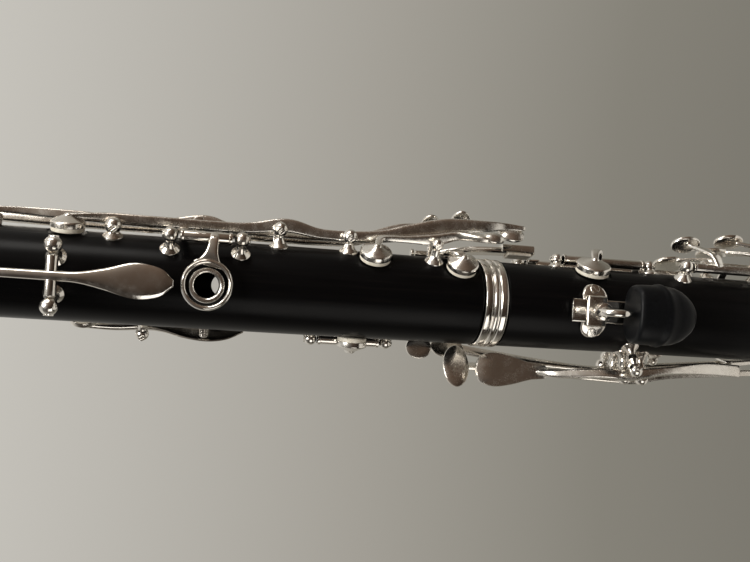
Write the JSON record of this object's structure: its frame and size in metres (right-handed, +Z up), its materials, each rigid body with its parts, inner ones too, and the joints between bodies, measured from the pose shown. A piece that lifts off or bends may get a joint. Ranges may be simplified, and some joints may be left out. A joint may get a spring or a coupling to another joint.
{
  "type": "clarinet",
  "caption": "Soprano clarinet with ring keys: mouthpiece, barrel, two keyed joints and a flared bell.",
  "frame": {"origin": "centre of the bell's rim plane, on the bore's axis", "axes": "+Z up the bore from bell to mouthpiece, the thumb side faces -Y, the finger holes face +Y, the player's right side is +X"},
  "size_m": [0.0798, 0.0798, 0.667],
  "materials": {
    "wood": "satin near-black grenadilla",
    "silver": "polished silver plate, lightly tarnished",
    "ebonite": "polished hard rubber",
    "cork": "natural cork",
    "skin": "cream bladder skin over felt",
    "cane": "cane",
    "rubber": "matt dark rubber"
  },
  "bodies": {
    "body": {"upper_joint": "wood", "lower_joint": "wood", "bell": "wood", "thumb_tube": "silver", "register_tube": "silver", "middle_socket_ring": "silver", "bell_rim_ring": "silver", "bell_socket_ring": "silver", "thumb_rest_plate": "silver", "middle_tenon_cork": "cork", "barrel_tenon_cork": "cork", "bell_tenon_cork": "cork"},
    "barrel_body": {"barrel": "wood", "barrel_lower_ring": "silver", "barrel_upper_ring": "silver", "mouthpiece": "ebonite", "mouthpiece_cork": "cork", "reed": "cane", "ligature": "silver"},
    "ligature_screw_lower_body": {"ligature_screw_lower": "silver"},
    "ligature_screw_upper_body": {"ligature_screw_upper": "silver"},
    "thumb_rest_body": {"thumb_rest_hook": "silver", "thumb_rest_cushion": "rubber"},
    "strap_ring_body": {"thumb_rest_screw": "silver"},
    "register_key_body": {"register_key": "silver", "register_pad": "skin"},
    "thumb_ring_key_body": {"thumb_ring_key": "silver"},
    "throat_a_key_body": {"throat_a_key": "silver", "throat_a_pad": "skin"},
    "g_sharp_key_body": {"g_sharp_key": "silver", "g_sharp_pad": "skin"},
    "first_ring_key_body": {"first_ring_key": "silver", "first_ring_pad": "skin"},
    "bridge_ring_key_body": {"bridge_ring_key": "silver", "bridge_ring_pad": "skin"},
    "cross_key_body": {"cross_key": "silver", "cross_pad": "skin"},
    "c_sharp_key_body": {"c_sharp_key": "silver", "c_sharp_pad": "skin"},
    "side_1_key_body": {"side_1_key": "silver", "side_1_pad": "skin"},
    "side_2_key_body": {"side_2_key": "silver", "side_2_pad": "skin"},
    "side_3_key_body": {"side_3_key": "silver"},
    "side_4_key_body": {"side_4_key": "silver"},
    "lower_ring_key_body": {"lower_ring_key": "silver", "lower_ring_pad": "skin"},
    "lower_cross_key_body": {"lower_cross_key": "silver", "lower_cross_pad": "skin"},
    "f_sharp_key_body": {"f_sharp_key": "silver", "f_sharp_pad": "skin"},
    "e_key_body": {"e_key": "silver", "e_pad": "skin"},
    "a_flat_key_body": {"a_flat_key": "silver", "a_flat_pad": "skin"},
    "f_key_body": {"f_key": "silver", "f_pad": "skin"},
    "lh_e_lever_body": {"lh_e_lever": "silver"},
    "lh_f_lever_body": {"lh_f_lever": "silver"},
    "lh_f_sharp_lever_body": {"lh_f_sharp_lever": "silver"}
  },
  "joints": [
    {"name": "tuning_slide", "type": "slide", "parent": "body", "child": "barrel_body", "axis": [0, 0, 1], "range_m": [0, 0.002]},
    {"name": "ligature_screw_lower_turn", "type": "hinge", "parent": "barrel_body", "child": "ligature_screw_lower_body", "pos_m": [0, -0.0168, 0.612], "axis": [1, 0, 0], "continuous": true},
    {"name": "ligature_screw_upper_turn", "type": "hinge", "parent": "barrel_body", "child": "ligature_screw_upper_body", "pos_m": [0, -0.0168, 0.624], "axis": [1, 0, 0], "continuous": true},
    {"name": "thumb_rest_slide", "type": "slide", "parent": "body", "child": "thumb_rest_body", "axis": [0, 0, 1], "range_m": [-0.005, 0.001]},
    {"name": "strap_ring_turn", "type": "hinge", "parent": "body", "child": "strap_ring_body", "pos_m": [0, -0.018, 0.2963], "axis": [0, -1, 0], "range_deg": [-90, 90]},
    {"name": "register_key_press", "type": "hinge", "parent": "body", "child": "register_key_body", "pos_m": [0, -0.0206, 0.4645], "axis": [1, 0, 0], "range_deg": [0, 3], "stiffness_Nm_per_rad": 0.05, "springref_deg": -14.32},
    {"name": "thumb_ring_key_press", "type": "hinge", "parent": "body", "child": "thumb_ring_key_body", "pos_m": [0.01426, -0.0133, 0.422], "axis": [0, 0, -1], "range_deg": [0, 5.2], "stiffness_Nm_per_rad": 0.05, "springref_deg": -14.32},
    {"name": "throat_a_key_press", "type": "hinge", "parent": "body", "child": "throat_a_key_body", "pos_m": [-0.00267, 0.01901, 0.453], "axis": [-0.9903, -0.1392, 0], "range_deg": [0, 4.4], "stiffness_Nm_per_rad": 0.05, "springref_deg": -14.32},
    {"name": "g_sharp_key_press", "type": "hinge", "parent": "body", "child": "g_sharp_key_body", "pos_m": [-0.01375, 0.01282, 0.44], "axis": [-0.682, -0.7314, 0], "range_deg": [0, 5.4], "stiffness_Nm_per_rad": 0.05, "springref_deg": -14.32},
    {"name": "first_ring_key_press", "type": "hinge", "parent": "body", "child": "first_ring_key_body", "pos_m": [0.01139, 0.01458, 0.42], "axis": [0, 0, 1], "range_deg": [0, 7.5], "stiffness_Nm_per_rad": 0.05, "springref_deg": -14.32},
    {"name": "bridge_ring_key_press", "type": "hinge", "parent": "body", "child": "bridge_ring_key_body", "pos_m": [0.01139, 0.01458, 0.389], "axis": [0, 0, 1], "range_deg": [0, 7.5], "stiffness_Nm_per_rad": 0.05, "springref_deg": -14.32},
    {"name": "cross_key_press", "type": "hinge", "parent": "body", "child": "cross_key_body", "pos_m": [-0.01554, 0.00826, 0.374], "axis": [0, 0, -1], "range_deg": [0, 12], "stiffness_Nm_per_rad": 0.05, "springref_deg": -14.32},
    {"name": "c_sharp_key_press", "type": "hinge", "parent": "body", "child": "c_sharp_key_body", "pos_m": [0.01465, 0.00592, 0.348], "axis": [0, 0, 1], "range_deg": [0, 5], "stiffness_Nm_per_rad": 0.05, "springref_deg": -14.32},
    {"name": "side_1_key_press", "type": "hinge", "parent": "body", "child": "side_1_key_body", "pos_m": [0.01865, -0.0057, 0.3505], "axis": [0.2924, 0.9563, 0], "range_deg": [0, 4.5], "stiffness_Nm_per_rad": 0.05, "springref_deg": -14.32},
    {"name": "side_2_key_press", "type": "hinge", "parent": "body", "child": "side_2_key_body", "pos_m": [0.01936, -0.00118, 0.4], "axis": [0.061, 0.9981, 0], "range_deg": [0, 1.8], "stiffness_Nm_per_rad": 0.05, "springref_deg": -14.32},
    {"name": "side_3_key_press", "type": "hinge", "parent": "body", "child": "side_3_key_body", "pos_m": [0.01863, 0.00464, 0.425], "axis": [-0.2419, 0.9703, 0], "range_deg": [0, 1.8], "stiffness_Nm_per_rad": 0.05, "springref_deg": -14.32},
    {"name": "side_4_key_press", "type": "hinge", "parent": "body", "child": "side_4_key_body", "pos_m": [0.01762, 0.00859, 0.425], "axis": [-0.4384, 0.8988, 0], "range_deg": [0, 1.5], "stiffness_Nm_per_rad": 0.05, "springref_deg": -14.32},
    {"name": "lower_ring_key_press", "type": "hinge", "parent": "body", "child": "lower_ring_key_body", "pos_m": [0.01417, 0.01189, 0.283], "axis": [0, 0, 1], "range_deg": [0, 5], "stiffness_Nm_per_rad": 0.05, "springref_deg": -14.32},
    {"name": "lower_cross_key_press", "type": "hinge", "parent": "body", "child": "lower_cross_key_body", "pos_m": [0.01644, 0.00231, 0.288], "axis": [0, 0, 1], "range_deg": [0, 9], "stiffness_Nm_per_rad": 0.05, "springref_deg": -14.32},
    {"name": "f_sharp_key_press", "type": "hinge", "parent": "body", "child": "f_sharp_key_body", "pos_m": [0.0181, 0.00385, 0.217], "axis": [0, 0, 1], "range_deg": [0, 7.6], "stiffness_Nm_per_rad": 0.05, "springref_deg": -14.32},
    {"name": "e_key_press", "type": "hinge", "parent": "body", "child": "e_key_body", "pos_m": [0.0184, -0.00193, 0.181], "axis": [0, 0, 1], "range_deg": [0, 8.5], "stiffness_Nm_per_rad": 0.05, "springref_deg": -14.32},
    {"name": "a_flat_key_press", "type": "hinge", "parent": "body", "child": "a_flat_key_body", "pos_m": [0.0169, -0.00752, 0.24], "axis": [0, 0, 1], "range_deg": [0, 14], "stiffness_Nm_per_rad": 0.05, "springref_deg": -14.32},
    {"name": "f_key_press", "type": "hinge", "parent": "body", "child": "f_key_body", "pos_m": [0.0169, -0.00752, 0.189], "axis": [0, 0, 1], "range_deg": [0, 7.9], "stiffness_Nm_per_rad": 0.05, "springref_deg": -14.32},
    {"name": "lh_e_lever_press", "type": "hinge", "parent": "body", "child": "lh_e_lever_body", "pos_m": [-0.02124, 0.00773, 0.281], "axis": [0.342, 0.9397, 0], "range_deg": [0, 3], "stiffness_Nm_per_rad": 0.05, "springref_deg": -14.32},
    {"name": "lh_f_lever_press", "type": "hinge", "parent": "body", "child": "lh_f_lever_body", "pos_m": [-0.02259, -0.00079, 0.2745], "axis": [-0.0349, 0.9994, 0], "range_deg": [0, 3], "stiffness_Nm_per_rad": 0.05, "springref_deg": -14.32},
    {"name": "lh_f_sharp_lever_press", "type": "hinge", "parent": "body", "child": "lh_f_sharp_lever_body", "pos_m": [-0.02065, -0.00919, 0.281], "axis": [-0.4067, 0.9135, 0], "range_deg": [0, 3], "stiffness_Nm_per_rad": 0.05, "springref_deg": -14.32}
  ],
  "couplings": [
    {"joint": "e_key_press", "follows": "lh_e_lever_press", "ratio": 2.8333},
    {"joint": "f_key_press", "follows": "lh_f_lever_press", "ratio": 2.6331},
    {"joint": "f_sharp_key_press", "follows": "lh_f_sharp_lever_press", "ratio": 2.5333}
  ]
}
